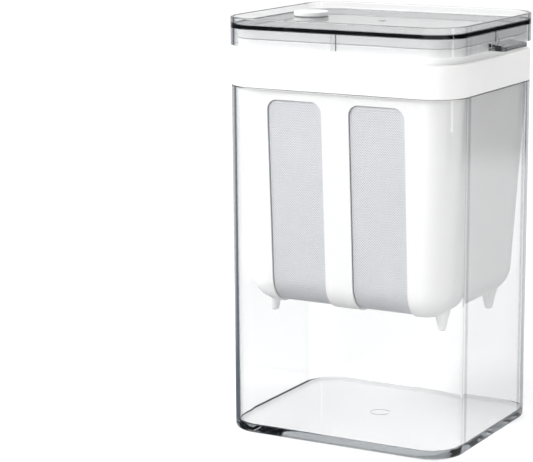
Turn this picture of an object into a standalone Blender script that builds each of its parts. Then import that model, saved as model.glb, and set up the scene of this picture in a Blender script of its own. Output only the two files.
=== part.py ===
"""Yogurt strainer set: a clear tub, a white strainer with mesh windows, a clear lid with its
silicone gasket, and a silicone vent plug.

The origin is the centre of the tub's flat underside. +Z is up, +X points at the lid's finger
tab and -Y is the front, where the mesh windows face. All sizes are in metres.
"""
import math

import bmesh
import bpy
from mathutils import Vector

# Driving dimensions
WIDTH = 0.150            # across X, over the tub's rim
DEPTH = 0.125            # along Y, over the tub's rim
CORNER = 0.021           # upright corner radius of tub, strainer band and lid
GAP = 0.0003             # clearance between pieces that touch

# Tub
TUB_HEIGHT = 0.2072
TUB_WALL = 0.0024
TUB_FLOOR = 0.0045
TUB_DRAFT = 0.0006       # how much narrower the base is on each side
BASE_ROUND = 0.0018
FLOOR_FILLET = 0.0015
RIM_ROUND = 0.0005

# Strainer
STRAINER_WALL = 0.0020
BAND_BOTTOM = TUB_HEIGHT + GAP
SHOULDER = 0.2263        # top of the band that is flush with the tub
SHOULDER_ROUND = 0.0012
NECK_INSET = 0.0038
NECK_TOP = 0.2350
BASKET_INSET_TOP = 0.0033
BASKET_INSET_LOW = 0.0092
BASKET_BOTTOM = 0.0775
BASKET_ROUND = 0.0180    # large fillet between the walls and the basket's floor
BASKET_CORNER = 0.0175
FLOOR_CORNER = 0.0030    # corner radius of the flat part of the basket's floor
FOOT_X = 0.0554
FOOT_Y = 0.0310
FOOT_TIP = 0.0694
FOOT_TIP_RADIUS = 0.0025
FOOT_ROOT_RADIUS = 0.0052
FOOT_ROOT = 0.0880

# Mesh windows: each runs down the front, under the floor and up the back
WINDOW_INNER = 0.0087
WINDOW_OUTER = 0.0442
WINDOW_TOP = 0.2012
WINDOW_ROUND = 0.0065
MESH_RECESS = 0.0008
MESH_THICKNESS = 0.0005

# Lid
LID_TOP = 0.2473
LID_WALL = 0.0020
LID_CORNER = 0.0200
LID_ROUND = 0.0006
PANEL_TOP = 0.2430
PANEL_BOTTOM = 0.2406
SKIRT_BOTTOM = 0.2308
LIP_INSET = 0.0059       # plug lip that reaches down inside the strainer's neck
LIP_WALL = 0.0014
LIP_BOTTOM = 0.2332
RIB_WIDTH = 0.0028
RIB_DEPTH = 0.0014
TAB_REACH = 0.0110
TAB_HALF_WIDTH = 0.0150
TAB_ROOT_HEIGHT = 0.0044
TAB_EDGE_HEIGHT = 0.0026
TAB_BEVEL = 0.0006

# Gasket
GASKET_OUTER = 0.0038
GASKET_INNER = LIP_INSET - GAP
GASKET_BOTTOM = NECK_TOP + GAP
GASKET_TOP = PANEL_BOTTOM - GAP
GASKET_GROOVE = 0.0006

# Vent plug
VENT_X = -0.0520
VENT_Y = 0.0080
VENT_HOLE_RADIUS = 0.0042
VENT_HEAD_RADIUS = 0.0105
VENT_HEAD_HEIGHT = 0.0027
VENT_HEAD_ROUND = 0.0007
VENT_STEM_BOTTOM = 0.2386
VENT_DIMPLE_RADIUS = 0.0070
VENT_DIMPLE_DEPTH = 0.0005

CORNER_STEPS = 8
ARC_STEPS = 5
ROUND_SIDES = 40
FOOT_SIDES = 20
EMBED = 0.0004           # how far a joined detail reaches into the shell it grows from


def clear_scene():
    for item in list(bpy.data.objects):
        bpy.data.objects.remove(item, do_unlink=True)


def make_material(name, colour, roughness, transmission=0.0):
    material = bpy.data.materials.new(name)
    material.use_nodes = True
    shader = material.node_tree.nodes["Principled BSDF"]
    shader.inputs["Base Color"].default_value = (*colour, 1.0)
    shader.inputs["Roughness"].default_value = roughness
    shader.inputs["Metallic"].default_value = 0.0
    shader.inputs["Transmission Weight"].default_value = transmission
    return material


def arc(inset, z, radius, start, end, steps=ARC_STEPS):
    """Points of an arc in the (inset, height) plane, from the start angle to the end angle."""
    points = []
    for step in range(steps + 1):
        angle = math.radians(start + (end - start) * step / steps)
        points.append((inset + radius * math.cos(angle), z + radius * math.sin(angle)))
    return points


def rounded_loop(inset, z, corner):
    """A level rounded rectangle, inset from the tub's outline."""
    centre_x = WIDTH / 2 - inset - corner
    centre_y = DEPTH / 2 - inset - corner
    signs = ((1, 1), (-1, 1), (-1, -1), (1, -1))
    loop = []
    for quarter, (sign_x, sign_y) in enumerate(signs):
        for step in range(CORNER_STEPS + 1):
            angle = math.pi / 2 * (quarter + step / CORNER_STEPS)
            x = sign_x * centre_x + corner * math.cos(angle)
            y = sign_y * centre_y + corner * math.sin(angle)
            loop.append(Vector((x, y, z)))
    return loop


def round_loop(centre_x, centre_y, radius, z, sides):
    loop = []
    for side in range(sides):
        angle = math.tau * side / sides
        x = centre_x + radius * math.cos(angle)
        y = centre_y + radius * math.sin(angle)
        loop.append(Vector((x, y, z)))
    return loop


def skin_loops(mesh, loops, closed):
    """Joins loops of equal length with quads; the two ends are capped unless they meet."""
    rings = [[mesh.verts.new(point) for point in loop] for loop in loops]
    pairs = list(zip(rings, rings[1:]))
    if closed:
        pairs.append((rings[-1], rings[0]))
    for ring, following in pairs:
        for index in range(len(ring)):
            after = (index + 1) % len(ring)
            mesh.faces.new((ring[index], ring[after], following[after], following[index]))
    if not closed:
        mesh.faces.new(rings[0])
        mesh.faces.new(rings[-1])


def finish_object(mesh, name, material=None, smooth=True):
    bmesh.ops.recalc_face_normals(mesh, faces=mesh.faces)
    data = bpy.data.meshes.new(name)
    mesh.to_mesh(data)
    mesh.free()
    if smooth:
        data.shade_smooth()
        data.set_sharp_from_angle(angle=math.radians(35))
    if material:
        data.materials.append(material)
    piece = bpy.data.objects.new(name, data)
    bpy.context.collection.objects.link(piece)
    return piece


def loft(name, loops, material=None, closed=False):
    mesh = bmesh.new()
    skin_loops(mesh, loops, closed)
    return finish_object(mesh, name, material)


def make_cutter(piece):
    piece.hide_render = True
    piece.display_type = "WIRE"
    return piece


def combine(piece, other, operation):
    make_cutter(other)
    modifier = piece.modifiers.new(other.name, "BOOLEAN")
    modifier.operation = operation
    modifier.solver = "EXACT"
    modifier.object = other


def concentric(points, corner=CORNER):
    """Loops whose corner radius shrinks with the inset, as on a wall of even thickness."""
    return [rounded_loop(inset, z, corner - inset) for inset, z in points]


def make_tub():
    """Drawn tub with a flat base, rounded foot, slight draft and a plain rim."""
    points = arc(TUB_DRAFT + BASE_ROUND, BASE_ROUND, BASE_ROUND, 270, 180)
    points += arc(RIM_ROUND, TUB_HEIGHT - RIM_ROUND, RIM_ROUND, 180, 90, 3)
    points += arc(TUB_WALL - RIM_ROUND, TUB_HEIGHT - RIM_ROUND, RIM_ROUND, 90, 0, 3)
    inner = TUB_DRAFT + TUB_WALL + FLOOR_FILLET
    points += arc(inner, TUB_FLOOR + FLOOR_FILLET, FLOOR_FILLET, 180, 270)
    clear = make_material("clear_tub_plastic", (0.88, 0.91, 0.93), 0.04, 0.9)
    return loft("container", concentric(points), clear)


def basket_loops(offset):
    """Loops of the basket's outer surface, moved inward by the offset: floor, fillet and wall."""
    centre_inset = BASKET_INSET_LOW + BASKET_ROUND
    centre_z = BASKET_BOTTOM + BASKET_ROUND
    loops = []
    for step in range(2 * ARC_STEPS + 1):
        share = step / (2 * ARC_STEPS)
        angle = math.radians(270 - 90 * share)
        inset = centre_inset + (BASKET_ROUND - offset) * math.cos(angle)
        z = centre_z + (BASKET_ROUND - offset) * math.sin(angle)
        upright = -math.cos(angle)
        corner = FLOOR_CORNER + (BASKET_CORNER - FLOOR_CORNER) * upright
        loops.append(rounded_loop(inset, z, corner - offset))
    return loops


def basket_inset(z):
    """Inset of the basket's drafted outer wall at a height above the fillet."""
    low = BASKET_BOTTOM + BASKET_ROUND
    share = (z - low) / (BAND_BOTTOM - low)
    return BASKET_INSET_LOW + (BASKET_INSET_TOP - BASKET_INSET_LOW) * share


def strainer_outside():
    """Solid outer form: basket, band flush with the tub, rounded shoulder and neck."""
    loops = basket_loops(0.0)
    loops.append(rounded_loop(BASKET_INSET_TOP, BAND_BOTTOM, BASKET_CORNER))
    points = arc(RIM_ROUND, BAND_BOTTOM + RIM_ROUND, RIM_ROUND, 270, 180, 2)
    points += arc(SHOULDER_ROUND, SHOULDER - SHOULDER_ROUND, SHOULDER_ROUND, 180, 90)
    points.append((NECK_INSET, SHOULDER))
    points += arc(NECK_INSET + RIM_ROUND, NECK_TOP - RIM_ROUND, RIM_ROUND, 180, 90, 2)
    return loops + concentric(points)


def strainer_cavity():
    """The space inside the basket and neck, open at the top."""
    loops = basket_loops(STRAINER_WALL)
    inset = BASKET_INSET_TOP + STRAINER_WALL
    corner = BASKET_CORNER - STRAINER_WALL
    loops.append(rounded_loop(inset, BAND_BOTTOM, corner))
    loops.append(rounded_loop(inset, NECK_TOP + TUB_WALL, corner))
    return loft("strainer_cavity", loops)


def strainer_feet():
    """Four tapered feet that the basket stands on when it is out of the tub."""
    mesh = bmesh.new()
    stages = (
        (FOOT_TIP_RADIUS * 0.55, FOOT_TIP),
        (FOOT_TIP_RADIUS * 0.88, FOOT_TIP + 0.0006),
        (FOOT_TIP_RADIUS, FOOT_TIP + 0.0018),
        (FOOT_ROOT_RADIUS * 0.78, BASKET_BOTTOM + 0.0010),
        (FOOT_ROOT_RADIUS, FOOT_ROOT),
    )
    for sign_x in (-1, 1):
        for sign_y in (-1, 1):
            loops = []
            for radius, z in stages:
                loops.append(round_loop(sign_x * FOOT_X, sign_y * FOOT_Y, radius, z, FOOT_SIDES))
            skin_loops(mesh, loops, closed=False)
    return finish_object(mesh, "strainer_feet")


def window_outline(side, clearance):
    """Window seen from the front: square at the foot, rounded top corners."""
    low = side * (WINDOW_INNER + clearance)
    high = side * (WINDOW_OUTER - clearance)
    left = min(low, high)
    right = max(low, high)
    top = WINDOW_TOP - clearance
    radius = WINDOW_ROUND
    outline = [Vector((left, -WIDTH, 0.0)), Vector((right, -WIDTH, 0.0))]
    for x, start in ((right - radius, 0), (left + radius, 90)):
        for dx, dz in arc(0.0, 0.0, radius, start, start + 90):
            outline.append(Vector((x + dx, -WIDTH, top - radius + dz)))
    return outline


def window_block(name, sides, clearance):
    """Blocks that pass through the basket from front to back along the windows."""
    mesh = bmesh.new()
    for side in sides:
        front = window_outline(side, clearance)
        back = [point + Vector((0.0, 2 * WIDTH, 0.0)) for point in front]
        skin_loops(mesh, [front, back], closed=False)
    return finish_object(mesh, name, smooth=False)


def make_strainer():
    white = make_material("white_strainer_plastic", (0.93, 0.93, 0.93), 0.35)
    strainer = loft("strainer_frame", strainer_outside(), white)
    combine(strainer, strainer_feet(), "UNION")
    combine(strainer, strainer_cavity(), "DIFFERENCE")
    combine(strainer, window_block("window_openings", (-1, 1), 0.0), "DIFFERENCE")
    return strainer


def make_mesh_strip(name, side):
    """Fine mesh strip: a thin bowl of the basket's shape, trimmed to one window."""
    top = WINDOW_TOP + EMBED
    outside = basket_loops(MESH_RECESS)
    inside = basket_loops(MESH_RECESS + MESH_THICKNESS)
    wall = basket_inset(top) + MESH_RECESS
    corner = BASKET_CORNER - MESH_RECESS
    outside.append(rounded_loop(wall, top, corner))
    inside.append(rounded_loop(wall + MESH_THICKNESS, top, corner - MESH_THICKNESS))
    grey = make_material(name + "_weave", (0.70, 0.72, 0.75), 0.45)
    strip = loft(name, outside + inside[::-1], grey)
    combine(strip, window_block(name + "_trim", (side,), GAP), "INTERSECT")
    return strip


def lid_shell_loops():
    """Raised rim, recessed panel, skirt that hides the neck, and the plug lip under the panel."""
    points = arc(LID_WALL + LID_ROUND, PANEL_TOP + LID_ROUND, LID_ROUND, 270, 180, 3)
    points += arc(LID_WALL - LID_ROUND, LID_TOP - LID_ROUND, LID_ROUND, 0, 90, 3)
    points += arc(LID_ROUND, LID_TOP - LID_ROUND, LID_ROUND, 90, 180, 3)
    points += arc(RIM_ROUND, SKIRT_BOTTOM + RIM_ROUND, RIM_ROUND, 180, 270, 2)
    points.append((LID_WALL, SKIRT_BOTTOM))
    points.append((LID_WALL, PANEL_BOTTOM))
    points.append((LIP_INSET, PANEL_BOTTOM))
    points.append((LIP_INSET, LIP_BOTTOM))
    points.append((LIP_INSET + LIP_WALL, LIP_BOTTOM))
    points.append((LIP_INSET + LIP_WALL, PANEL_BOTTOM))
    return concentric(points, LID_CORNER)


def make_box(name, low, high):
    mesh = bmesh.new()
    bmesh.ops.create_cube(mesh, size=1.0)
    size = Vector(high) - Vector(low)
    centre = (Vector(high) + Vector(low)) / 2
    bmesh.ops.scale(mesh, vec=size, verts=mesh.verts)
    bmesh.ops.translate(mesh, vec=centre, verts=mesh.verts)
    return finish_object(mesh, name, smooth=False)


def lid_tab():
    """Finger tab: a wedge, thick at the skirt and thin at its edge, with softened edges."""
    root = WIDTH / 2 - LID_WALL + EMBED
    edge = WIDTH / 2 + TAB_REACH
    low = SKIRT_BOTTOM
    section = (
        (root, low),
        (edge, low),
        (edge, low + TAB_EDGE_HEIGHT),
        (root, low + TAB_ROOT_HEIGHT),
    )
    near = [Vector((x, -TAB_HALF_WIDTH, z)) for x, z in section]
    far = [Vector((x, TAB_HALF_WIDTH, z)) for x, z in section]
    mesh = bmesh.new()
    skin_loops(mesh, [near, far], closed=False)
    outer_edges = [item for item in mesh.edges if all(v.co.x > WIDTH / 2 for v in item.verts)]
    bmesh.ops.bevel(
        mesh, geom=outer_edges, offset=TAB_BEVEL, segments=2, profile=0.5, affect="EDGES",
        material=-1,
    )
    return finish_object(mesh, "lid_tab", smooth=False)


def lid_rib(name, axis, sign):
    """Guide rib on the inside of the skirt, at the middle of one side."""
    half = (WIDTH if axis == 0 else DEPTH) / 2
    outer = sign * (half - LID_WALL + EMBED)
    inner = sign * (half - LID_WALL - RIB_DEPTH)
    low = [-RIB_WIDTH / 2, -RIB_WIDTH / 2, SKIRT_BOTTOM + EMBED]
    high = [RIB_WIDTH / 2, RIB_WIDTH / 2, PANEL_BOTTOM + EMBED]
    low[axis] = min(outer, inner)
    high[axis] = max(outer, inner)
    return make_box(name, low, high)


def vent_hole():
    levels = (LIP_BOTTOM, LID_TOP)
    loops = [round_loop(VENT_X, VENT_Y, VENT_HOLE_RADIUS, z, ROUND_SIDES) for z in levels]
    return loft("vent_hole", loops)


def make_lid():
    clear = make_material("clear_lid_plastic", (0.80, 0.84, 0.87), 0.05, 0.9)
    lid = loft("lid_shell", lid_shell_loops(), clear)
    combine(lid, lid_tab(), "UNION")
    ribs = (("rib_front", 1, -1), ("rib_back", 1, 1), ("rib_left", 0, -1), ("rib_right", 0, 1))
    for name, axis, sign in ribs:
        combine(lid, lid_rib(name, axis, sign), "UNION")
    combine(lid, vent_hole(), "DIFFERENCE")
    return lid


def make_gasket():
    """Silicone ring around the plug lip, with a shallow groove between its two sealing beads."""
    middle = (GASKET_BOTTOM + GASKET_TOP) / 2
    quarter = (GASKET_TOP - GASKET_BOTTOM) / 4
    points = [
        (GASKET_INNER, GASKET_BOTTOM),
        (GASKET_OUTER, GASKET_BOTTOM),
        (GASKET_OUTER, GASKET_BOTTOM + quarter),
        (GASKET_OUTER + GASKET_GROOVE, middle),
        (GASKET_OUTER, GASKET_TOP - quarter),
        (GASKET_OUTER, GASKET_TOP),
        (GASKET_INNER, GASKET_TOP),
    ]
    frosted = make_material("frosted_silicone", (0.82, 0.84, 0.86), 0.5, 0.5)
    return loft("lid_gasket", concentric(points, LID_CORNER), frosted, closed=True)


def make_vent_plug():
    """Disc head with a finger dimple, on a tapered stem that fills the hole in the panel."""
    head_bottom = PANEL_TOP + GAP
    head_top = head_bottom + VENT_HEAD_HEIGHT
    stem = VENT_HOLE_RADIUS - GAP
    profile = [(stem * 0.85, VENT_STEM_BOTTOM), (stem, VENT_STEM_BOTTOM + 0.0010)]
    profile.append((stem, head_bottom))
    profile.append((VENT_HEAD_RADIUS - VENT_HEAD_ROUND / 2, head_bottom))
    profile.append((VENT_HEAD_RADIUS, head_bottom + VENT_HEAD_ROUND / 2))
    centre_radius = VENT_HEAD_RADIUS - VENT_HEAD_ROUND
    profile += arc(centre_radius, head_top - VENT_HEAD_ROUND, VENT_HEAD_ROUND, 0, 90, 4)
    profile.append((VENT_DIMPLE_RADIUS, head_top))
    profile.append((VENT_DIMPLE_RADIUS * 0.6, head_top - VENT_DIMPLE_DEPTH))
    loops = [round_loop(VENT_X, VENT_Y, radius, z, ROUND_SIDES) for radius, z in profile]
    white = make_material("white_silicone", (0.95, 0.95, 0.95), 0.5)
    return loft("vent_plug", loops, white)


def main():
    clear_scene()
    make_tub()
    make_strainer()
    make_mesh_strip("mesh_left", -1)
    make_mesh_strip("mesh_right", 1)
    make_lid()
    make_gasket()
    make_vent_plug()


main()
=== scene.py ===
# %% [markdown]
# # A yogurt strainer set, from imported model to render
# The set is a clear tub, a white strainer with windows of fine mesh, and a clear lid with a
# gasket and a vent plug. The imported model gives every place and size. This script gives each
# piece its fine surface: large smooth corners, edges that catch the light, and a material
# that behaves as its plastic, silicone or wire does.

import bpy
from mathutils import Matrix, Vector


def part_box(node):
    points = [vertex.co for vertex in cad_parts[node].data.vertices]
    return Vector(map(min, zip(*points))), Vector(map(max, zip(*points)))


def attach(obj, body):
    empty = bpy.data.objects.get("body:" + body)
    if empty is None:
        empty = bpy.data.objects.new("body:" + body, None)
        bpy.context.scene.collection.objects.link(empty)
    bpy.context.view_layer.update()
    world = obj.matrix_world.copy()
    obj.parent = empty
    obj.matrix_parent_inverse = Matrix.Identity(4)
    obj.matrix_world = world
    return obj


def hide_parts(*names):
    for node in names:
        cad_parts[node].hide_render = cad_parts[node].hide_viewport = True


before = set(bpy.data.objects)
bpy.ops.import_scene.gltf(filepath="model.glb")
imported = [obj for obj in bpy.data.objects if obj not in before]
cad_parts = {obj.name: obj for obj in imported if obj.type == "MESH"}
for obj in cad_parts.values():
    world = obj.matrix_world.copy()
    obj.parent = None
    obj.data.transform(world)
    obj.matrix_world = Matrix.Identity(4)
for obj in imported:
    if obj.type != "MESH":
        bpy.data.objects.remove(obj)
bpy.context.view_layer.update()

# %% [markdown]
# ## Tools and units
# bmesh makes and edits the meshes, and mathutils gives vectors and matrices. Blender counts in
# metres and a moulder's drawing in millimetres, so each size is written as a number times MM.

# %% Tools used all the way through
import math

import bmesh
import bpy
from mathutils import Matrix, Vector

MM = 0.001
SAME_POINT = 0.001 * MM
print("lengths are in metres, and points closer than", SAME_POINT, "m count as one")

# %% [markdown]
# ## Bringing a mesh into the scene
# Every piece starts as a bmesh. It is cleaned, its normals are made to point outwards, and it
# is shaded smooth with sharp edges where two faces meet at a large angle. The Weighted Normal
# modifier then lets the large faces decide the shading, so a flat wall stays flat up to the
# start of its rounding. That matters most in clear plastic, where a wrong normal bends light.

# %% Make an object from a bmesh
SHARP_ANGLE = math.radians(38)


def face_outwards(bm):
    """Makes every face's normal point out of the solid."""
    bm.normal_update()
    bmesh.ops.recalc_face_normals(bm, faces=bm.faces)
    if bm.calc_volume(signed=True) < 0:
        bmesh.ops.reverse_faces(bm, faces=bm.faces)


def as_object(bm, name):
    """Puts a bmesh into a new object of the scene, and frees the bmesh."""
    mesh = bpy.data.meshes.new(name)
    bm.to_mesh(mesh)
    bm.free()
    made = bpy.data.objects.new(name, mesh)
    bpy.context.scene.collection.objects.link(made)
    return made


def finish_piece(bm, name, material, body, replaced):
    """Makes a piece that rides on a body and stands for the nodes that it replaces."""
    bmesh.ops.remove_doubles(bm, verts=bm.verts, dist=2 * SAME_POINT)
    face_outwards(bm)
    piece = as_object(bm, name)
    mesh = piece.data
    mesh.shade_smooth()
    mesh.set_sharp_from_angle(angle=SHARP_ANGLE)
    mesh.materials.append(material)
    normals = piece.modifiers.new("Flat faces lead", "WEIGHTED_NORMAL")
    normals.keep_sharp = True
    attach(piece, body)
    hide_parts(*replaced)
    print(name, len(mesh.vertices), "vertices,", len(mesh.polygons), "faces")


# %% [markdown]
# ## The plan that the pieces share
# Tub, strainer and lid have one plan, a rectangle with large round corners. The outer size is
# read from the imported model's own box, so that a new piece can't drift from the solid it
# stands for. Only what a box can't tell is written down, such as the corners' radius and the
# small gap that keeps two pieces from touching.

# %% Sizes of the shared plan
_, tub_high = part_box("container")
half_width = tub_high.x
half_depth = tub_high.y
rim_height = tub_high.z
corner_radius = 21 * MM
gap = 0.3 * MM
print("tub", 2 * half_width, "x", 2 * half_depth, "x", rim_height, "m")

# %% [markdown]
# ## Walls made of rings
# The first ring of a wall is a one-face grid whose four corners are bevelled. Each further
# ring is extruded from the last one, and its four corners are scaled about their own centres
# and moved. A wall then follows any section, the way a moulder's drawing is turned into a box.
# Bridging two separate rings would be shorter, but it can pair the wrong points in a corner.

# %% One ring, and the next
CORNER_SEGMENTS = 20


def pick(geom, kind):
    """The items of one kind, such as edges, out of what an operator returned."""
    return [item for item in geom if isinstance(item, kind)]


def corner_centre(level, side_x, side_y):
    inset, z, corner = level
    x = half_width - inset - corner
    y = half_depth - inset - corner
    return Vector((side_x * x, side_y * y, z))


def first_ring(bm, level):
    """Edges of a level rounded rectangle, given as (inset, height, corner radius)."""
    inset, z, corner = level
    verts = bmesh.ops.create_grid(bm, x_segments=1, y_segments=1, size=1.0)["verts"]
    bmesh.ops.scale(bm, vec=(half_width - inset, half_depth - inset, 1.0), verts=verts)
    bmesh.ops.translate(bm, vec=(0.0, 0.0, z), verts=verts)
    bmesh.ops.bevel(
        bm, geom=verts, offset=corner, segments=CORNER_SEGMENTS, profile=0.5,
        affect="VERTICES", material=-1,
    )
    edges = list(bm.edges)
    bmesh.ops.delete(bm, geom=list(bm.faces), context="FACES_ONLY")
    return edges


def next_ring(bm, edges, before, after):
    """Extrudes a ring, and takes the copy to the next level of the section."""
    geom = bmesh.ops.extrude_edge_only(bm, edges=edges)["geom"]
    verts = pick(geom, bmesh.types.BMVert)
    size = after[2] / before[2]
    for side_x in (-1, 1):
        for side_y in (-1, 1):
            corner = [v for v in verts if v.co.x * side_x > 0 and v.co.y * side_y > 0]
            old = corner_centre(before, side_x, side_y)
            way = corner_centre(after, side_x, side_y) - old
            about = Matrix.Translation(-old)
            bmesh.ops.scale(bm, vec=(size, size, 1.0), space=about, verts=corner)
            bmesh.ops.translate(bm, vec=way, verts=corner)
    fresh = set(verts)
    return [edge for edge in pick(geom, bmesh.types.BMEdge) if fresh.issuperset(edge.verts)]


print("a ring has", 4 * (CORNER_SEGMENTS + 1), "points")

# %% [markdown]
# ## From a section to a shell
# A section is a list of points, each an inset from the outer plan and a height. An arc gives
# the points of a fillet. Where each ring's corner radius is the outer radius less the inset,
# the rings are concentric and the wall keeps one thickness all the way round.

# %% A shell of rings
def ring_shell(levels, closed=False):
    """Walls through rings given as (inset, height, corner radius). Open ends get flat caps."""
    bm = bmesh.new()
    edges = first_ring(bm, levels[0])
    if not closed:
        bmesh.ops.contextual_create(bm, geom=edges)
    route = levels[1:] + levels[:1] if closed else levels[1:]
    for before, after in zip(levels, route):
        edges = next_ring(bm, edges, before, after)
    if not closed:
        bmesh.ops.contextual_create(bm, geom=edges)
    bmesh.ops.remove_doubles(bm, verts=bm.verts, dist=SAME_POINT)
    return bm


def arc(inset, z, radius, start, end, steps=6):
    """Points on an arc in the section plane, as (inset, height) pairs."""
    angles = [math.radians(start + (end - start) * step / steps) for step in range(steps + 1)]
    return [(inset + radius * math.cos(a), z + radius * math.sin(a)) for a in angles]


def concentric(points, corner=corner_radius):
    """Adds to each point the corner radius that keeps a wall of even thickness."""
    return [(inset, z, corner - inset) for inset, z in points]


print("a quarter arc of 1 mm has", len(arc(0.0, 0.0, MM, 0, 90)), "points")

# %% [markdown]
# ## Booleans that leave a plain mesh
# The strainer and the lid are each a main form with smaller forms joined or cut. Every form
# is made apart; the modifiers are evaluated once and the result goes back into a bmesh, so
# the finished piece has no live cutter behind it.

# %% Join and cut
def carve(bm, tools):
    """Applies (bmesh, operation) pairs to a bmesh one after another."""
    face_outwards(bm)
    work = as_object(bm, "work")
    helpers = [work]
    for tool, operation in tools:
        face_outwards(tool)
        helper = as_object(tool, "tool")
        helpers.append(helper)
        cut = work.modifiers.new(operation, "BOOLEAN")
        cut.operation = operation
        cut.solver = "EXACT"
        cut.object = helper
    bpy.context.view_layer.update()
    evaluated = work.evaluated_get(bpy.context.evaluated_depsgraph_get())
    result = bmesh.new()
    result.from_mesh(evaluated.to_mesh())
    evaluated.to_mesh_clear()
    for helper in helpers:
        bpy.data.objects.remove(helper, do_unlink=True)
    print("carved with", len(tools), "tools into", len(result.faces), "faces")
    return result


# %% [markdown]
# ## Two simple forms
# Most of the smaller forms are one of two kinds. A block lies between its lowest and its
# highest corner. A turned form is half a section, drawn as radii and heights and spun round
# an upright axis, as a lathe would cut it.

# %% Block and turned form
TURN_STEPS = 72


def block(low, high):
    """A box between its lowest and its highest corner."""
    bm = bmesh.new()
    bmesh.ops.create_cube(bm, size=1.0)
    low = Vector(low)
    high = Vector(high)
    bmesh.ops.scale(bm, vec=high - low, verts=bm.verts)
    bmesh.ops.translate(bm, vec=(high + low) / 2, verts=bm.verts)
    return bm


def turned(section, x=0.0, y=0.0, closed=False):
    """Spins a line of (radius, height) points round an upright axis at x, y."""
    bm = bmesh.new()
    verts = [bm.verts.new((x + radius, y, z)) for radius, z in section]
    edges = [bm.edges.new(pair) for pair in zip(verts, verts[1:])]
    if closed:
        edges.append(bm.edges.new((verts[-1], verts[0])))
    bmesh.ops.spin(
        bm, geom=verts + edges, cent=(x, y, 0.0), axis=(0.0, 0.0, 1.0),
        angle=math.tau, steps=TURN_STEPS, use_merge=True,
    )
    bmesh.ops.remove_doubles(bm, verts=bm.verts, dist=SAME_POINT)
    return bm


print("a turned form has a step every", 360 / TURN_STEPS, "degrees")

# %% [markdown]
# ## Colour and nodes
# Colours are written as sRGB hex values, as a paint shop would note them, and one function
# turns them to the linear values that the renderer adds up. One more function adds a node
# with its settings and its incoming links, so that a material reads as a short recipe.

# %% Helpers for materials
def colour(code):
    channels = [int(code[i : i + 2], 16) / 255 for i in (1, 3, 5)]
    linear = [c / 12.92 if c <= 0.04045 else ((c + 0.055) / 1.055) ** 2.4 for c in channels]
    return (*linear, 1.0)


def add_node(tree, kind, settings=None, **links):
    """Adds a node. Settings name its properties or sockets; links name sockets and sources.

    A link called _0 goes to the first socket; Base_Color goes to the one called Base Color.
    """
    node = tree.nodes.new(kind)
    for key, value in (settings or {}).items():
        if isinstance(key, str) and hasattr(node, key):
            setattr(node, key, value)
        else:
            node.inputs[key].default_value = value
    for key, source in links.items():
        socket = int(key[1:]) if key[1:].isdigit() else key.replace("_", " ")
        tree.links.new(source, node.inputs[socket])
    return node


def new_material(name):
    material = bpy.data.materials.new(name)
    material.use_nodes = True
    material.node_tree.nodes.clear()
    return material, material.node_tree


WHITE = colour("#ffffff")
print("mid grey #808080 is", round(colour("#808080")[0], 3), "in linear light")

# %% [markdown]
# ## The line at the tub's corner
# On the real tub a grey upright line stands where a flat side wall runs into its rounded
# corner, because the wall there bends light a little differently. Two smooth surfaces hardly
# give it, so it is drawn as a pale tint on the tab side: this is a look, not a shape. It is
# kept pale because a wall seen square on shows no such line.

# %% Tint of the corner line
CORNER_LINE = 38.5 * MM
LINE_CORE = 0.6 * MM
LINE_EDGE = 1.4 * MM
SIDE_WALL = 0.93 * half_width


def corner_line(tree, place, tone):
    """White, but the given tone in a narrow upright line on each end of the tab side."""
    split = add_node(tree, "ShaderNodeSeparateXYZ", None, Vector=place.outputs["Object"])
    from_middle = add_node(
        tree, "ShaderNodeMath", {"operation": "ABSOLUTE"}, _0=split.outputs["Y"]
    )
    off_line = add_node(
        tree, "ShaderNodeMath", {"operation": "SUBTRACT", 1: CORNER_LINE}, _0=from_middle.outputs[0]
    )
    distance = add_node(tree, "ShaderNodeMath", {"operation": "ABSOLUTE"}, _0=off_line.outputs[0])
    near = add_node(
        tree, "ShaderNodeMapRange",
        {"From Min": LINE_CORE, "From Max": LINE_EDGE, "To Min": 1.0, "To Max": 0.0},
        Value=distance.outputs[0],
    )
    on_side = add_node(
        tree, "ShaderNodeMath", {"operation": "GREATER_THAN", 1: SIDE_WALL}, _0=split.outputs["X"]
    )
    share = add_node(
        tree, "ShaderNodeMath", {"operation": "MULTIPLY"},
        _0=near.outputs["Result"], _1=on_side.outputs[0],
    )
    line = add_node(
        tree, "ShaderNodeMix", {"data_type": "RGBA", 6: WHITE, 7: colour(tone)},
        _0=share.outputs[0],
    )
    return line.outputs[2]


print("corner lines stand", CORNER_LINE, "m either side of the middle")

# %% [markdown]
# ## Clear plastic
# Tub and lid are polished styrene mouldings. Styrene bends light more than glass does, and it
# is very faintly grey: a thin wall looks colourless, while a floor or a panel seen along its
# length is dark. That comes from absorption in the volume. The surface is a Principled shader
# that transmits all its light. Rays from lamps go straight through by a Light Path switch,
# because a bare refracting wall would throw a solid black shadow. A slow ripple, as moulded
# walls have, and a trace of haze keep the reflections from being perfect.

# %% Material: polished clear styrene
RIPPLE_SPACING = 26 * MM
HAZE_SPACING = 9 * MM
STYRENE_IOR = 1.57


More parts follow.
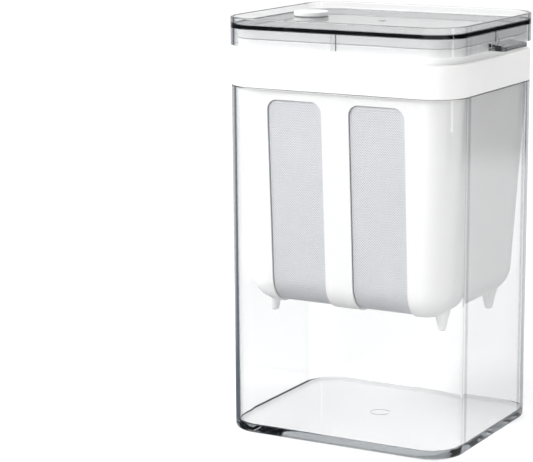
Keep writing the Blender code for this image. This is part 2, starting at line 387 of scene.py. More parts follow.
def clear_plastic(name, tint, density, ripple, line_tone):
    material, tree = new_material(name)
    place = add_node(tree, "ShaderNodeTexCoord")
    flow = add_node(
        tree, "ShaderNodeTexNoise", {"Scale": 1 / RIPPLE_SPACING, "Detail": 1.0},
        Vector=place.outputs["Object"],
    )
    wave = add_node(
        tree, "ShaderNodeBump", {"Strength": ripple, "Distance": 0.2 * MM},
        Height=flow.outputs["Fac"],
    )
    haze = add_node(
        tree, "ShaderNodeTexNoise", {"Scale": 1 / HAZE_SPACING, "Detail": 3.0},
        Vector=place.outputs["Object"],
    )
    polish = add_node(
        tree, "ShaderNodeMapRange",
        {"From Min": 0.35, "From Max": 0.8, "To Min": 0.0, "To Max": 0.03},
        Value=haze.outputs["Fac"],
    )
    shader = add_node(
        tree, "ShaderNodeBsdfPrincipled", {"IOR": STYRENE_IOR, "Transmission Weight": 1.0},
        Base_Color=corner_line(tree, place, line_tone),
        Roughness=polish.outputs["Result"], Normal=wave.outputs["Normal"],
    )
    open_way = add_node(tree, "ShaderNodeBsdfTransparent", {"Color": WHITE})
    path = add_node(tree, "ShaderNodeLightPath")
    surface = add_node(
        tree, "ShaderNodeMixShader", None,
        _0=path.outputs["Is Shadow Ray"], _1=shader.outputs["BSDF"], _2=open_way.outputs["BSDF"],
    )
    body = add_node(
        tree, "ShaderNodeVolumeAbsorption", {"Color": colour(tint), "Density": density}
    )
    add_node(
        tree, "ShaderNodeOutputMaterial", None,
        Surface=surface.outputs["Shader"], Volume=body.outputs["Volume"],
    )
    print(name, "absorbs at", density, "per metre")
    return material


tub_styrene = clear_plastic("clear_moulded_styrene_tub", "#abb1b6", 11.0, 0.005, "#c3c6c9")

# %% [markdown]
# ## The tub
# A drawn tub with a thick floor. The section goes round the outer foot, up the outside, over
# the rim and down the inside to the floor, and each point of it becomes one ring. A shallow
# ring in the floor stands for the mark that a moulding's gate leaves.

# %% Piece: tub
tub_wall = 2.4 * MM
tub_floor = 4.5 * MM
tub_draft = 0.6 * MM
foot_round = 1.8 * MM
floor_fillet = 1.5 * MM


def gate_ring():
    """A cutter for the ring in the floor. Its top stands clear of the floor."""
    inside = 5.2 * MM
    outside = 6.0 * MM
    low = tub_floor - 0.25 * MM
    high = tub_floor + MM
    section = [(inside, high), (inside, low), (outside, low), (outside, high)]
    return turned(section, closed=True)


def make_tub():
    rim = 0.5 * MM
    inner = tub_draft + tub_wall + floor_fillet
    points = arc(tub_draft + foot_round, foot_round, foot_round, 270, 180)
    points += arc(rim, rim_height - rim, rim, 180, 90, 4)
    points += arc(tub_wall - rim, rim_height - rim, rim, 90, 0, 4)
    points += arc(inner, tub_floor + floor_fillet, floor_fillet, 180, 270, 10)
    bm = carve(ring_shell(concentric(points)), [(gate_ring(), "DIFFERENCE")])
    finish_piece(bm, "tub", tub_styrene, "tub", ["container"])


make_tub()

# %% [markdown]
# ## White mouldings
# The strainer is injection-moulded polypropylene: white, a little waxy, with a satin skin.
# Light goes a millimetre or two into it, which is the Subsurface Weight. A fine noise breaks
# up the gloss, as the spark-eroded tool surface does on the real moulding. The same recipe
# with a rougher and finer skin gives the soft silicone of the vent plug.

# %% Material: satin white polypropylene
CLOUD_SPACING = 30 * MM
LIGHT_DEPTH = 1.5 * MM


def moulded_white(name, light, shade, roughness, grain):
    material, tree = new_material(name)
    place = add_node(tree, "ShaderNodeTexCoord")
    cloud = add_node(
        tree, "ShaderNodeTexNoise", {"Scale": 1 / CLOUD_SPACING, "Detail": 2.0},
        Vector=place.outputs["Object"],
    )
    tone = add_node(
        tree, "ShaderNodeMix", {"data_type": "RGBA", 6: colour(light), 7: colour(shade)},
        _0=cloud.outputs["Fac"],
    )
    skin = add_node(
        tree, "ShaderNodeTexNoise", {"Scale": 1 / grain, "Detail": 2.0},
        Vector=place.outputs["Object"],
    )
    bump = add_node(
        tree, "ShaderNodeBump", {"Strength": 0.08, "Distance": 0.05 * MM},
        Height=skin.outputs["Fac"],
    )
    gloss = add_node(
        tree, "ShaderNodeMapRange", {"To Min": roughness - 0.05, "To Max": roughness + 0.07},
        Value=skin.outputs["Fac"],
    )
    shader = add_node(
        tree, "ShaderNodeBsdfPrincipled",
        {"IOR": 1.49, "Subsurface Weight": 0.12, "Subsurface Scale": LIGHT_DEPTH,
         "Subsurface Radius": (1.0, 0.9, 0.8)},
        Base_Color=tone.outputs[2], Roughness=gloss.outputs["Result"],
        Normal=bump.outputs["Normal"],
    )
    add_node(tree, "ShaderNodeOutputMaterial", None, Surface=shader.outputs["BSDF"])
    print(name, "has a grain of", grain, "m")
    return material


white_polypropylene = moulded_white(
    "satin_white_polypropylene", "#f7f7f6", "#f1f1f1", 0.30, 0.5 * MM
)

# %% [markdown]
# ## The strainer's outer form
# The basket hangs inside the tub from a band that sits on the rim. Its wall leans in towards
# the floor and meets it in a large fillet, while the corners of the plan grow sharper down
# that fillet. Above the basket come the band, a shoulder, and the neck under the lid.

# %% Outer form of the strainer
strainer_low, strainer_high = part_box("strainer_frame")
neck_top = strainer_high.z
band_bottom = rim_height + gap
shoulder_height = 226.3 * MM
neck_inset = 3.8 * MM
basket_inset_top = 3.3 * MM
basket_inset_low = 9.2 * MM
basket_bottom = 77.5 * MM
basket_round = 18.0 * MM
basket_corner = 17.5 * MM
floor_corner = 3.0 * MM

round_inset = basket_inset_low + basket_round
round_height = basket_bottom + basket_round


def basket_levels(offset):
    """The basket's floor and its large fillet, moved inwards by the offset."""
    levels = []
    for inset, z in arc(round_inset, round_height, basket_round - offset, 270, 180, 16):
        upright = (round_inset - inset) / (basket_round - offset)
        corner = floor_corner + (basket_corner - floor_corner) * upright - offset
        levels.append((inset, z, corner))
    return levels


def strainer_form():
    edge = 0.5 * MM
    shoulder = 1.2 * MM
    levels = basket_levels(0.0)
    levels.append((basket_inset_top, band_bottom, basket_corner))
    points = arc(edge, band_bottom + edge, edge, 270, 180, 4)
    points += arc(shoulder, shoulder_height - shoulder, shoulder, 180, 90, 6)
    points.append((neck_inset, shoulder_height))
    points += arc(neck_inset + edge, neck_top - edge, edge, 180, 90, 4)
    return ring_shell(levels + concentric(points))


print("basket from", basket_bottom, "m up to its band at", band_bottom, "m")

# %% [markdown]
# ## The strainer's space and feet
# The space is the same form moved inwards by the wall's thickness and carried out through the
# top. On the real tool a cavity and a core make these two sides of the wall. Each foot is a
# stack of circles, growing from its tip up into the basket's fillet, where it is joined.

# %% Space inside, and the feet
frame_wall = 2.0 * MM
past_neck = 2.4 * MM
foot_tip = strainer_low.z
foot_x = 55.4 * MM
foot_y = 31.0 * MM
FOOT_STAGES_MM = ((1.2, 0), (2.0, 0.4), (2.5, 1.3), (3.1, 4.5), (3.8, 7.5), (4.6, 10), (5.2, 13.5))


def strainer_space():
    inset = basket_inset_top + frame_wall
    corner = basket_corner - frame_wall
    levels = basket_levels(frame_wall)
    levels.append((inset, band_bottom, corner))
    levels.append((inset, neck_top + past_neck, corner))
    return ring_shell(levels)


def strainer_feet():
    """Four tapered feet, each a stack of circles given as (radius, height above its tip)."""
    bm = bmesh.new()
    for side_x in (-1, 1):
        for side_y in (-1, 1):
            rings = []
            for radius, rise in FOOT_STAGES_MM:
                verts = bmesh.ops.create_circle(bm, segments=32, radius=radius * MM)["verts"]
                place = (side_x * foot_x, side_y * foot_y, foot_tip + rise * MM)
                bmesh.ops.translate(bm, vec=place, verts=verts)
                rings.append(list({edge for vert in verts for edge in vert.link_edges}))
            for ring, following in zip(rings, rings[1:]):
                bmesh.ops.bridge_loops(bm, edges=ring + following)
            bmesh.ops.contextual_create(bm, geom=rings[0])
            bmesh.ops.contextual_create(bm, geom=rings[-1])
    return bm


print("feet stand", basket_bottom - foot_tip, "m below the basket's floor")

# %% [markdown]
# ## The strainer's windows
# Two windows leave a strap between them. Each is cut by a block with round top corners that
# passes right through the basket from front to back, so one cut opens the front, the floor
# and the back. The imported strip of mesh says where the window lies.

# %% Piece: strainer
cloth_low, cloth_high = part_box("mesh_right")
window_inner = cloth_low.x - gap
window_outer = cloth_high.x + gap
window_top = cloth_high.z + gap
window_round = 6.5 * MM


def window_blocks():
    """Both windows' cutters in one bmesh, so that they cut as one tool."""
    bm = bmesh.new()
    for side in (-1, 1):
        start, end = sorted((side * window_inner, side * window_outer))
        cutter = block((start, -2 * half_depth, 0.0), (end, 2 * half_depth, window_top))
        high = [e for e in cutter.edges if all(v.co.z > window_top / 2 for v in e.verts)]
        along = [e for e in high if abs(e.verts[0].co.y - e.verts[1].co.y) > MM]
        bmesh.ops.bevel(
            cutter, geom=along, offset=window_round, segments=12, profile=0.5,
            affect="EDGES", material=-1,
        )
        mesh = bpy.data.meshes.new("window_block")
        cutter.to_mesh(mesh)
        cutter.free()
        bm.from_mesh(mesh)
        bpy.data.meshes.remove(mesh)
    return bm


def make_strainer():
    tools = [
        (strainer_feet(), "UNION"),
        (strainer_space(), "DIFFERENCE"),
        (window_blocks(), "DIFFERENCE"),
    ]
    bm = carve(strainer_form(), tools)
    finish_piece(
        bm, "strainer", white_polypropylene, "strainer", ["strainer_frame"]
    )


make_strainer()

# %% [markdown]
# ## The path of the mesh
# Each strip is one length of cloth, laid in the tool before the frame is moulded round it. It
# runs down the front, round the fillet, under the floor and up the back, a little below the
# frame's outer surface. The same line of points shapes the strip and gives its length.

# %% Path of a strip
mesh_recess = 0.8 * MM
CLOTH_BURY = 1.0 * MM
WALL_STEPS = 24


def strip_path():
    """Points of the strip's path in the YZ plane, from the front's top to the back's."""
    offset = mesh_recess + gap
    top = window_top + CLOTH_BURY
    rise = (top - round_height) / (band_bottom - round_height)
    high_inset = basket_inset_low + (basket_inset_top - basket_inset_low) * rise + offset
    low_inset = basket_inset_low + offset
    side = []
    for step in range(WALL_STEPS):
        share = step / WALL_STEPS
        inset = high_inset + (low_inset - high_inset) * share
        side.append((inset, top + (round_height - top) * share))
    side += arc(round_inset, round_height, basket_round - offset, 180, 270, 16)
    front = [Vector((0.0, inset - half_depth, z)) for inset, z in side]
    back = [Vector((0.0, half_depth - inset, z)) for inset, z in reversed(side)]
    return front + back


def path_distances(path):
    """How far along the path each of its points lies."""
    distances = [0.0]
    for a, b in zip(path, path[1:]):
        distances.append(distances[-1] + (b - a).length)
    return distances


cloth_path = strip_path()
cloth_distances = path_distances(cloth_path)
print("a strip is", round(cloth_distances[-1] / MM, 1), "mm long")

# %% [markdown]
# ## The painted shade line round a window
# Where cloth goes into the plastic, the narrow recess between frame and cloth lies in shade and
# shows as a fine dark line. That shade is painted as a darker tone in the cloth's material, from
# the distance to a rounded rectangle: the strip's UV map is folded about its middle, the
# straight part is taken off, and the length of what is left is the distance from the centre of
# the corner's rounding.

# %% Shade along the window's edge
LINE_START_MM = 0.15
LINE_END_MM = 0.6


def painted_edge_shade(tree, strip):
    """A value of 1 along the window's edge, where shade is painted, and 0 over the rest of the
    cloth.
    """
    corner = window_round / MM
    middle = (window_inner + window_outer) / 2 / MM
    reach = (window_outer - window_inner) / 2 / MM - corner
    half_length = cloth_distances[-1] / 2 / MM
    half_open = half_length - CLOTH_BURY / MM - corner
    steps = (
        ("SUBTRACT", (0.0, half_length, 0.0)),
        ("ABSOLUTE", (0.0, 0.0, 0.0)),
        ("SUBTRACT", (middle, 0.0, 0.0)),
        ("ABSOLUTE", (0.0, 0.0, 0.0)),
        ("SUBTRACT", (reach, half_open, 0.0)),
        ("MAXIMUM", (0.0, 0.0, 0.0)),
    )
    folded = strip.outputs["UV"]
    for operation, amount in steps:
        step = add_node(
            tree, "ShaderNodeVectorMath", {"operation": operation, 1: amount}, _0=folded
        )
        folded = step.outputs["Vector"]
    away = add_node(tree, "ShaderNodeVectorMath", {"operation": "LENGTH"}, _0=folded)
    line = add_node(
        tree, "ShaderNodeMapRange",
        {"From Min": corner - LINE_END_MM, "From Max": corner - LINE_START_MM},
        Value=away.outputs["Value"],
    )
    return line.outputs["Result"]


print("the dark line is", round(LINE_END_MM - LINE_START_MM, 2), "mm wide where it fades")

# %% [markdown]
# ## Woven wire cloth
# The windows hold steel cloth with threads of about 0.1 mm, too fine to show when the whole
# set is in view. It is drawn at a pitch of 1.1 mm so that it shows as weave. Threads run on
# the diagonal. Two sine waves across the strip's own UV map, which counts in millimetres,
# make the threads; where both are low there is a hole, and their product lifts one thread
# over the other. Thin wire scatters light, so the cloth is only partly metallic and pale.

# %% Material: fine steel wire cloth
CLOTH_PITCH_MM = 1.1
WAVE = math.pi / CLOTH_PITCH_MM


def wire_cloth():
    material, tree = new_material("woven_fine_steel_cloth")
    strip = add_node(tree, "ShaderNodeUVMap", {"uv_map": "strip_mm"})
    diagonal = add_node(
        tree, "ShaderNodeMapping",
        {"Rotation": (0.0, 0.0, math.radians(45)), "Scale": (WAVE, WAVE, 1.0)},
        Vector=strip.outputs["UV"],
    )
    split = add_node(tree, "ShaderNodeSeparateXYZ", None, Vector=diagonal.outputs["Vector"])
    waves = []
    threads = []
    for axis in ("X", "Y"):
        wave = add_node(tree, "ShaderNodeMath", {"operation": "SINE"}, _0=split.outputs[axis])
        waves.append(wave.outputs[0])
        thread = add_node(
            tree, "ShaderNodeMath", {"operation": "ABSOLUTE"}, _0=wave.outputs[0]
        )
        threads.append(thread.outputs[0])
    cover = add_node(
        tree, "ShaderNodeMath", {"operation": "MAXIMUM"}, _0=threads[0], _1=threads[1]
    )
    solid = add_node(
        tree, "ShaderNodeMapRange",
        {"From Min": 0.30, "From Max": 0.55, "To Min": 0.35, "To Max": 1.0},
        Value=cover.outputs[0],
    )
    cross = add_node(
        tree, "ShaderNodeMath", {"operation": "MULTIPLY"}, _0=waves[0], _1=waves[1]
    )
    bump = add_node(
        tree, "ShaderNodeBump", {"Strength": 0.6, "Distance": 0.25 * MM},
        Height=cross.outputs[0],
    )
    tone = add_node(
        tree, "ShaderNodeMix", {"data_type": "RGBA", 6: colour("#b2b3b6"), 7: colour("#e4e5e8")},
        _0=cover.outputs[0],
    )
    # Painted shade: a dark grey along the window's edge stands in for the shade in the recess
    # between frame and cloth.
    shade = add_node(
        tree, "ShaderNodeMix", {"data_type": "RGBA", 7: colour("#3c3d40")},
        _0=painted_edge_shade(tree, strip), _6=tone.outputs[2],
    )
    shader = add_node(
        tree, "ShaderNodeBsdfPrincipled", {"Metallic": 0.25, "Roughness": 0.42},
        Base_Color=shade.outputs[2], Alpha=solid.outputs["Result"],
        Normal=bump.outputs["Normal"],
    )
    add_node(tree, "ShaderNodeOutputMaterial", None, Surface=shader.outputs["BSDF"])
    print("threads every", CLOTH_PITCH_MM, "mm")
    return material


steel_cloth = wire_cloth()

# %% [markdown]
# ## The mesh strips
# The line of points along the path is extruded across the window, column by column, and the
# strip's edges end inside the plastic. The UV map holds the way along the strip and across
# it, in millimetres, so that the weave keeps its size round the fillet.

# %% Piece: mesh strips
CLOTH_COLUMNS = 8


def make_strip(name, side, node):
    bm = bmesh.new()
    start = Vector((side * (window_inner - CLOTH_BURY), 0.0, 0.0))
    across = side * (window_outer - window_inner + 2 * CLOTH_BURY) / CLOTH_COLUMNS
    verts = [bm.verts.new(point + start) for point in cloth_path]
    edges = [bm.edges.new(pair) for pair in zip(verts, verts[1:])]
    for _ in range(CLOTH_COLUMNS):
        grown = bmesh.ops.extrude_edge_only(bm, edges=edges)["geom"]
        fresh = set(pick(grown, bmesh.types.BMVert))
        bmesh.ops.translate(bm, vec=(across, 0.0, 0.0), verts=list(fresh))
        edges = [e for e in pick(grown, bmesh.types.BMEdge) if fresh.issuperset(e.verts)]
    along = {
        (round(point.y, 6), round(point.z, 6)): distance
        for point, distance in zip(cloth_path, cloth_distances)
    }
    layer = bm.loops.layers.uv.new("strip_mm")
    for face in bm.faces:
        for loop in face.loops:
            co = loop.vert.co
            distance = along[(round(co.y, 6), round(co.z, 6))]
            loop[layer].uv = (co.x / MM, distance / MM)
    finish_piece(bm, name, steel_cloth, "strainer", [node])


make_strip("mesh_cloth_left", -1, "mesh_left")
make_strip("mesh_cloth_right", 1, "mesh_right")

# %% [markdown]
# ## The lid's form
# One clear moulding, of the same plastic as the tub but a darker batch: a raised rim round a
# recessed panel, a skirt that hides the strainer's neck, and a lip that plugs the neck. Its
# section starts on the panel, goes over the rim, down the skirt and back up inside it, and
# ends under the panel inside the lip.

# %% Form of the lid
lid_styrene = clear_plastic("clear_moulded_styrene_lid", "#8f9499", 74.0, 0.005, "#f2f3f4")

lid_low, lid_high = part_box("lid_shell")
lid_wall = 2.0 * MM
lid_corner = 20.0 * MM
panel_top = 243.0 * MM
panel_bottom = 240.6 * MM
lip_inset = 5.9 * MM
lip_wall = 1.4 * MM
lip_bottom = 233.2 * MM


def lid_form():
    edge = 0.7 * MM
    fillet = 0.8 * MM
    hem = 0.4 * MM
    chamfer = 0.2 * MM
    top = lid_high.z
    bottom = lid_low.z
    points = arc(lid_wall + fillet, panel_top + fillet, fillet, 270, 180, 6)
    points += arc(lid_wall - edge, top - edge, edge, 0, 90, 5)
    points += arc(edge, top - edge, edge, 90, 180, 5)
    points += arc(hem, bottom + hem, hem, 180, 270, 4)
    points += [(lid_wall - chamfer, bottom), (lid_wall, bottom + chamfer)]
    points += [(lid_wall, panel_bottom), (lip_inset, panel_bottom)]
    points += [(lip_inset, lip_bottom), (lip_inset + lip_wall, lip_bottom)]
    points += [(lip_inset + lip_wall, panel_bottom)]
    return ring_shell(concentric(points, lid_corner))


print("lid panel", round((panel_top - panel_bottom) / MM, 2), "mm thick")

# %% [markdown]
# ## The lid's tab and ribs
# The finger tab is a wedge, thick at the skirt and thin at its edge, made from a block whose
# outer top edge is lowered before its edges are rounded. Four ribs inside the skirt, one in
# the middle of each side, guide the lid on to the neck.

# %% Tab and ribs
def lid_tab():
    root = half_width - lid_wall + 0.4 * MM
    low = lid_low.z
    half_tab = 15 * MM
    bm = block((root, -half_tab, low), (lid_high.x, half_tab, low + 4.4 * MM))
    for vert in bm.verts:
        if vert.co.x > half_width and vert.co.z > low + MM:
            vert.co.z = low + 2.6 * MM
    outer = [e for e in bm.edges if all(v.co.x > half_width for v in e.verts)]
    bmesh.ops.bevel(
        bm, geom=outer, offset=0.7 * MM, segments=4, profile=0.5, affect="EDGES", material=-1
    )
    return bm


def lid_ribs():
    """Four blocks with their operation, each sunk a little into skirt and panel."""
    sunk = 0.4 * MM
    root = lid_wall - sunk
    reach = lid_wall + 1.4 * MM
    low = lid_low.z + sunk
    high = panel_bottom + sunk
    half_rib = 1.4 * MM
    tools = []
    for side in (-1, 1):
        start, end = sorted((side * (half_depth - root), side * (half_depth - reach)))
        tools.append((block((-half_rib, start, low), (half_rib, end, high)), "UNION"))
        start, end = sorted((side * (half_width - root), side * (half_width - reach)))
        tools.append((block((start, -half_rib, low), (end, half_rib, high)), "UNION"))
    return tools


print("tab reaches", round((lid_high.x - half_width) / MM, 1), "mm past the skirt")

# %% [markdown]
# ## The lid's hole and gate mark
# A round hole takes the vent plug. A small dimple in the middle of the panel is the mark of
# the gate, where the plastic entered the tool. Both are cut last, so that nothing fills them.

# %% Piece: lid
vent_low, vent_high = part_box("vent_plug")
vent_centre = (vent_low + vent_high) / 2
vent_hole = 4.2 * MM


def vent_drill():
    bm = bmesh.new()
    bmesh.ops.create_cone(
        bm, cap_ends=True, segments=64, radius1=vent_hole, radius2=vent_hole, depth=12 * MM
    )
    place = (vent_centre.x, vent_centre.y, panel_bottom)
    bmesh.ops.translate(bm, vec=place, verts=bm.verts)
    return bm


def gate_dimple():
    low = panel_top - MM
    high = panel_top + MM
    return turned([(0.0, low), (2.1 * MM, low), (2.6 * MM, high), (0.0, high)])


def make_lid():
    tools = [(lid_tab(), "UNION")] + lid_ribs()
    tools += [(vent_drill(), "DIFFERENCE"), (gate_dimple(), "DIFFERENCE")]
    bm = carve(lid_form(), tools)
    finish_piece(bm, "lid", lid_styrene, "lid", ["lid_shell"])


make_lid()

# %% [markdown]
# ## Translucent silicone
# The gasket is moulded silicone: soft, milky and slightly matt. A small transmission lets the
# light of the clear lid into it, and a fine noise in the roughness keeps its shine uneven, as
# on rubber that came out of a blasted tool.

# %% Material: translucent silicone
def frosted_silicone():
    material, tree = new_material("translucent_moulded_silicone")
    place = add_node(tree, "ShaderNodeTexCoord")
    skin = add_node(
        tree, "ShaderNodeTexNoise", {"Scale": 1 / (0.6 * MM), "Detail": 2.0},
        Vector=place.outputs["Object"],
    )
    matt = add_node(
        tree, "ShaderNodeMapRange", {"To Min": 0.35, "To Max": 0.5}, Value=skin.outputs["Fac"]
    )
    shader = add_node(
        tree, "ShaderNodeBsdfPrincipled",
        {"Base Color": colour("#f6f6f6"), "IOR": 1.41, "Transmission Weight": 0.2},
        Roughness=matt.outputs["Result"],
    )
    add_node(tree, "ShaderNodeOutputMaterial", None, Surface=shader.outputs["BSDF"])
    print(material.name, "is ready")
    return material


clear_silicone = frosted_silicone()

# %% [markdown]
# ## The gasket
# A ring that sits round the lid's lip and presses on the neck. Its section is closed, so the
# last ring is joined to the first. The outer edges are rounded, and the inner ones lie hidden
# against the lip.

# %% Piece: gasket
gasket_low, gasket_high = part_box("lid_gasket")


def make_gasket():
    edge = 0.6 * MM
    inner = lip_inset - gap
    outer = half_width - gasket_high.x
    bottom = gasket_low.z
    top = gasket_high.z
    points = [(inner, bottom)]
    points += arc(outer + edge, bottom + edge, edge, 270, 180, 5)
    points += arc(outer + edge, top - edge, edge, 180, 90, 5)
    points.append((inner, top))
    bm = ring_shell(concentric(points, lid_corner), closed=True)
    finish_piece(bm, "gasket", clear_silicone, "lid", ["lid_gasket"])


make_gasket()

# %% [markdown]
# ## The vent plug
# A turned part: half its section is drawn as a line of points and spun round its axis. The
# head has a shallow dimple for a finger, and the stem fills the hole in the panel.

# %% Piece: vent plug
white_silicone = moulded_white("soft_white_silicone", "#fafafa", "#f3f3f3", 0.48, 0.3 * MM)
vent_radius = (vent_high.x - vent_low.x) / 2


def make_vent():
    edge = 0.7 * MM
    stem = vent_hole - gap
    stem_tip = 0.85 * stem
    head_bottom = panel_top + gap
    top = vent_high.z
    section = [(0.0, vent_low.z), (stem_tip, vent_low.z), (stem, vent_low.z + MM)]
    section += [(stem, head_bottom), (vent_radius - edge / 2, head_bottom)]
    section += [(vent_radius, head_bottom + edge / 2)]
    section += arc(vent_radius - edge, top - edge, edge, 0, 90, 6)
    section += [(7.6 * MM, top), (7.0 * MM, top - 0.2 * MM), (5.0 * MM, top - 0.45 * MM)]
    section += [(0.0, top - 0.6 * MM)]
    bm = turned(section, vent_centre.x, vent_centre.y)
    finish_piece(bm, "vent", white_silicone, "vent", ["vent_plug"])


make_vent()

# %% [markdown]
# ## Light for clear plastic
# Clear plastic shows only what it bends or mirrors, so a studio lights it twice: a white
# surround that is seen straight through the walls, and dark cards at the sides that the edges
# pick up. Here a Light Path node does the work of the cards. A ray that has been mirrored,
# outside or inside a wall, meets darker tones. Every other ray meets white, so walls stay
# clear while rims and corners are drawn in grey. Once a matt surface has scattered a ray, it
# meets white again, or the cards would darken the white pieces too.

# %% A test for mirrored rays
def mirrored_rays(tree):
    """A Light Path node, and a value of 1 for mirrored rays that no matt surface scattered."""
    path = add_node(tree, "ShaderNodeLightPath")
    mirrored = add_node(
        tree, "ShaderNodeMath", {"operation": "GREATER_THAN", 1: 0.5},
        _0=path.outputs["Glossy Depth"],
    )
    direct = add_node(
        tree, "ShaderNodeMath", {"operation": "LESS_THAN", 1: 0.5},
        _0=path.outputs["Diffuse Depth"],
    )
    both = add_node(
        tree, "ShaderNodeMath", {"operation": "MULTIPLY"},
        _0=mirrored.outputs[0], _1=direct.outputs[0],
    )
    return path, both.outputs[0]


print("mirrored rays are told apart by their glossy depth")

# %% [markdown]
# ## The tones of the floor
# A large matt white card, a hair below the tub so that the two surfaces never coincide. To
# mirrored rays it has two darker sectors, one towards the left and front and one towards the
# right and back, as two cards lying on it would give. The right one is light close to the
# tub and dark further out, so that it reaches the lid's edge and spares the tub's wall.

# %% Tones of the floor
LEFT_WAY = (-0.9, -0.43, 0.0)


def floor_tone(tree):
    """White, but grey to dark grey for mirrored rays, by the way that they went."""
    path, mirrored = mirrored_rays(tree)
    place = add_node(tree, "ShaderNodeTexCoord")
    heading = add_node(
        tree, "ShaderNodeVectorMath", {"operation": "NORMALIZE"}, _0=place.outputs["Object"]
    )
    left = add_node(
        tree, "ShaderNodeVectorMath", {"operation": "DOT_PRODUCT", 1: LEFT_WAY},
        _0=heading.outputs["Vector"],
    )
    left_card = add_node(
        tree, "ShaderNodeMapRange",
        {"interpolation_type": "SMOOTHSTEP", "From Min": 0.5, "From Max": 0.75},
        Value=left.outputs["Value"],
    )
    right_card = add_node(
        tree, "ShaderNodeMapRange",
        {"interpolation_type": "SMOOTHSTEP", "From Min": -0.5, "From Max": -0.75},
        Value=left.outputs["Value"],
    )
    reach = add_node(
        tree, "ShaderNodeVectorMath", {"operation": "LENGTH"}, _0=place.outputs["Object"]
    )
    far = add_node(
        tree, "ShaderNodeMapRange",
        {"interpolation_type": "SMOOTHSTEP", "From Min": 0.9, "From Max": 1.15, "To Min": 0.15},
        Value=reach.outputs["Value"],
    )
    right_share = add_node(
        tree, "ShaderNodeMath", {"operation": "MULTIPLY"},
        _0=right_card.outputs["Result"], _1=far.outputs["Result"],
    )
    with_right = add_node(
        tree, "ShaderNodeMix", {"data_type": "RGBA", 6: colour("#c4c6c8"), 7: colour("#34383d")},
        _0=right_share.outputs[0],
    )
    with_both = add_node(
        tree, "ShaderNodeMix", {"data_type": "RGBA", 7: colour("#5a6067")},
        _0=left_card.outputs["Result"], _6=with_right.outputs[2],
    )
    tone = add_node(
        tree, "ShaderNodeMix", {"data_type": "RGBA", 6: colour("#fcfcfc")},
        _0=mirrored, _7=with_both.outputs[2],
    )
    return tone.outputs[2]


print("the left card lies towards", LEFT_WAY)

# %% [markdown]
# ## The floor's face
# One large square face is enough, because nothing on a matt card needs an edge in view.

# %% Floor
FLOOR_HALF = 6.0


def make_floor():
    bm = bmesh.new()
    bmesh.ops.create_grid(bm, x_segments=1, y_segments=1, size=FLOOR_HALF)
    bmesh.ops.translate(bm, vec=(0.0, 0.0, -gap), verts=bm.verts)
    floor = as_object(bm, "floor")
    material, tree = new_material("matt_white_card")
    shader = add_node(tree, "ShaderNodeBsdfDiffuse", None, Color=floor_tone(tree))
    add_node(tree, "ShaderNodeOutputMaterial", None, Surface=shader.outputs["BSDF"])
    floor.data.materials.append(material)
    print("floor", 2 * FLOOR_HALF, "m wide,", gap, "m below the tub")


make_floor()

# %% [markdown]
# ## The surround
# The world is white. Rays seen straight or through clear plastic meet an even, slightly
# over-bright white. The light that falls on the matt pieces is weaker from the right, which
# shades that side of the strainer. Mirrored rays meet a dark horizon under a bright ceiling.

# %% Surround
CLEAR_VIEW = 1.25
RIGHT_WAY = (0.92, -0.39, 0.0)


def make_surround():
    world = bpy.data.worlds.new("studio_surround")
    bpy.context.scene.world = world
    world.use_nodes = True
    tree = world.node_tree
    tree.nodes.clear()
    way = add_node(tree, "ShaderNodeTexCoord")
    split = add_node(tree, "ShaderNodeSeparateXYZ", None, Vector=way.outputs["Generated"])
    right = add_node(
        tree, "ShaderNodeVectorMath", {"operation": "DOT_PRODUCT", 1: RIGHT_WAY},
        _0=way.outputs["Generated"],
    )
    side_light = add_node(
        tree, "ShaderNodeMapRange",
        {"interpolation_type": "SMOOTHSTEP", "From Min": 0.15, "From Max": 0.85,
         "To Min": 1.2, "To Max": 0.46},
        Value=right.outputs["Value"],
    )
    ceiling = add_node(
        tree, "ShaderNodeMapRange",
        {"interpolation_type": "SMOOTHSTEP", "From Min": -0.02, "From Max": 0.14,
         "To Min": 0.1, "To Max": 1.1},
        Value=split.outputs["Z"],
    )
    path, mirrored = mirrored_rays(tree)
    straight = add_node(
        tree, "ShaderNodeMath", {"operation": "MAXIMUM"},
        _0=path.outputs["Is Camera Ray"], _1=path.outputs["Is Transmission Ray"],
    )
    unmirrored = add_node(
        tree, "ShaderNodeMix", {"data_type": "FLOAT", 3: CLEAR_VIEW},
        _0=straight.outputs[0], _2=side_light.outputs["Result"],
    )
    strength = add_node(
        tree, "ShaderNodeMix", {"data_type": "FLOAT"},
        _0=mirrored, _2=unmirrored.outputs[0], _3=ceiling.outputs["Result"],
    )
    glow = add_node(
        tree, "ShaderNodeBackground", {"Color": WHITE}, Strength=strength.outputs[0]
    )
    add_node(tree, "ShaderNodeOutputWorld", None, Surface=glow.outputs["Background"])
    print(world.name, "has", len(tree.nodes), "nodes")


make_surround()

# %% [markdown]
# ## The lamps
# A large soft lamp at the front left is the key. A weak, narrow strip on the right puts a
# soft upright shine on the strainer's rounded corner.

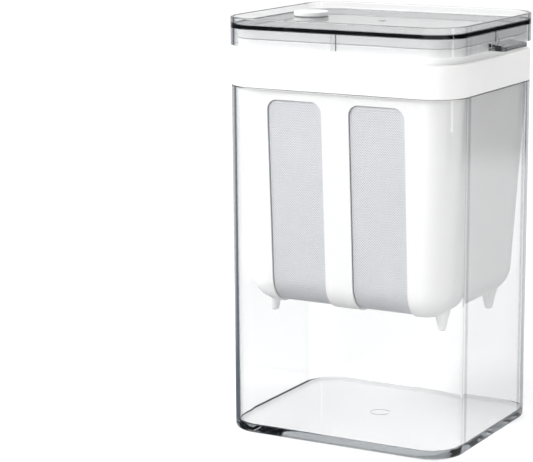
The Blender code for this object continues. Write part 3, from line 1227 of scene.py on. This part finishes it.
# %% Lamps
def soft_lamp(name, place, aim, size, power):
    data = bpy.data.lights.new(name, "AREA")
    data.shape = "RECTANGLE"
    data.size, data.size_y = size
    data.energy = power
    lamp = bpy.data.objects.new(name, data)
    lamp.location = place
    lamp.rotation_euler = (Vector(aim) - Vector(place)).to_track_quat("-Z", "Y").to_euler()
    bpy.context.scene.collection.objects.link(lamp)
    print(name, power, "W")


soft_lamp("key_front_left", (-1.3, -1.5, 1.3), (0.0, 0.0, 0.12), (1.0, 1.0), 22.0)
soft_lamp("strip_right", (1.20, -0.17, 0.35), (0.0, 0.0, 0.15), (0.1, 1.0), 0.9)

# %% [markdown]
# ## The camera
# It stands to the right of the front and a little above, over a metre away with a long lens,
# so that upright edges stay almost parallel. The lens is shifted sideways, which places the
# set right of the middle without turning it.

# %% Camera
AZIMUTH = math.radians(28.08)
ELEVATION = math.radians(11.48)
DISTANCE = 1.2246
AIM = Vector((-21.6, -12.2, 117.2)) * MM
LENS_MM = 138.0
SENSOR_MM = 36.0
SIDE_SHIFT = -0.138


def make_camera():
    back = Vector((
        math.sin(AZIMUTH) * math.cos(ELEVATION),
        -math.cos(AZIMUTH) * math.cos(ELEVATION),
        math.sin(ELEVATION),
    ))
    data = bpy.data.cameras.new("camera")
    data.sensor_width = SENSOR_MM
    data.lens = LENS_MM
    data.shift_x = SIDE_SHIFT
    data.clip_start = 0.05
    data.clip_end = 20.0
    camera = bpy.data.objects.new("camera", data)
    camera.location = AIM + back * DISTANCE
    camera.rotation_euler = (-back).to_track_quat("-Z", "Y").to_euler()
    bpy.context.scene.collection.objects.link(camera)
    bpy.context.scene.camera = camera
    print("camera at", camera.location)


make_camera()

# %% [markdown]
# ## Light paths and tone
# Light crosses many walls of the tub, basket and lid, and is mirrored to and fro inside them,
# so rays may bounce more often than by default. The Standard view keeps white as white.

# %% Light paths and tone
MANY = 24
scene = bpy.context.scene
scene.view_settings.view_transform = "Standard"
scene.cycles.max_bounces = MANY
scene.cycles.transmission_bounces = MANY
scene.cycles.transparent_max_bounces = MANY
scene.cycles.glossy_bounces = 12
print("rays bounce up to", MANY, "times")
